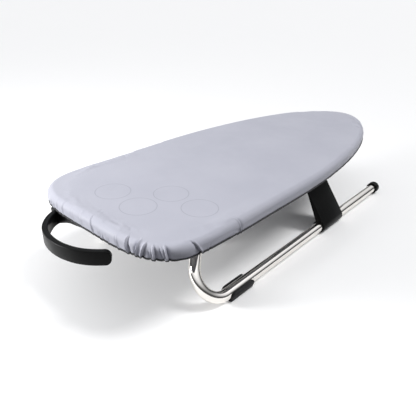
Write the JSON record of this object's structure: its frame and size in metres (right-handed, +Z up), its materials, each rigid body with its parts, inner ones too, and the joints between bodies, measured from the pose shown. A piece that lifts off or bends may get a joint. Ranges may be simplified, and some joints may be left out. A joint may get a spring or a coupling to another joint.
{
  "type": "tabletop ironing board",
  "caption": "Low tabletop ironing board: padded cloth-covered board with a long pointed nose, a hanging hook, and two bent-tube legs that fold flat underneath.",
  "frame": {"origin": "centre of the overall box at the level of the table the legs stand on", "axes": "+X along the board towards its pointed nose, +Y across to the far leg, +Z up"},
  "size_m": [0.787, 0.3, 0.144],
  "materials": {
    "cover_cloth": "silver-grey metallised cotton, faint lavender cast, soft sheen",
    "felt_pad": "undyed needled felt",
    "elastic": "black woven elastic edging",
    "painted_steel": "light grey powder coat",
    "chromed_tube": "bright chrome plate",
    "zinc_steel": "zinc-plated fasteners",
    "black_plastic": "black satin moulding",
    "grey_plastic": "dark grey satin moulding",
    "foot_rubber": "black non-slip elastomer"
  },
  "bodies": {
    "board": {"cover": "cover_cloth", "deck_rim": "painted_steel", "deck_sheet": "painted_steel", "far_clip_screw_1": "zinc_steel", "far_clip_screw_2": "zinc_steel", "far_hinge_block_front": "grey_plastic", "far_hinge_block_rear": "grey_plastic", "far_hinge_screw_front_1": "zinc_steel", "far_hinge_screw_front_2": "zinc_steel", "far_hinge_screw_rear_1": "zinc_steel", "far_hinge_screw_rear_2": "zinc_steel", "far_leg_stop": "grey_plastic", "far_stop_screw_1": "zinc_steel", "far_stop_screw_2": "zinc_steel", "far_storage_clip": "grey_plastic", "front_cross_rail": "painted_steel", "hanging_hook": "black_plastic", "hem_elastic": "elastic", "hook_screw_1": "zinc_steel", "hook_screw_2": "zinc_steel", "near_clip_screw_1": "zinc_steel", "near_clip_screw_2": "zinc_steel", "near_hinge_block_front": "grey_plastic", "near_hinge_block_rear": "grey_plastic", "near_hinge_screw_front_1": "zinc_steel", "near_hinge_screw_front_2": "zinc_steel", "near_hinge_screw_rear_1": "zinc_steel", "near_hinge_screw_rear_2": "zinc_steel", "near_leg_stop": "grey_plastic", "near_stop_screw_1": "zinc_steel", "near_stop_screw_2": "zinc_steel", "near_storage_clip": "grey_plastic", "pad": "felt_pad", "rear_cross_rail": "painted_steel"},
    "near_leg": {"near_axle_plug": "black_plastic", "near_bracket_rivet_lower": "zinc_steel", "near_bracket_rivet_upper": "zinc_steel", "near_end_cap": "black_plastic", "near_foot_clip": "foot_rubber", "near_leg_bracket": "black_plastic", "near_leg_tube": "chromed_tube"},
    "far_leg": {"far_axle_plug": "black_plastic", "far_bracket_rivet_lower": "zinc_steel", "far_bracket_rivet_upper": "zinc_steel", "far_end_cap": "black_plastic", "far_foot_clip": "foot_rubber", "far_leg_bracket": "black_plastic", "far_leg_tube": "chromed_tube"}
  },
  "joints": [
    {"name": "near_leg_fold", "type": "hinge", "parent": "board", "child": "near_leg", "pos_m": [0, -0.06469, 0.102], "axis": [1, 0, 0], "range_deg": [0, 127.2]},
    {"name": "far_leg_fold", "type": "hinge", "parent": "board", "child": "far_leg", "pos_m": [0, 0.08442, 0.076], "axis": [-1, 0, 0], "range_deg": [0, 127.2]}
  ]
}
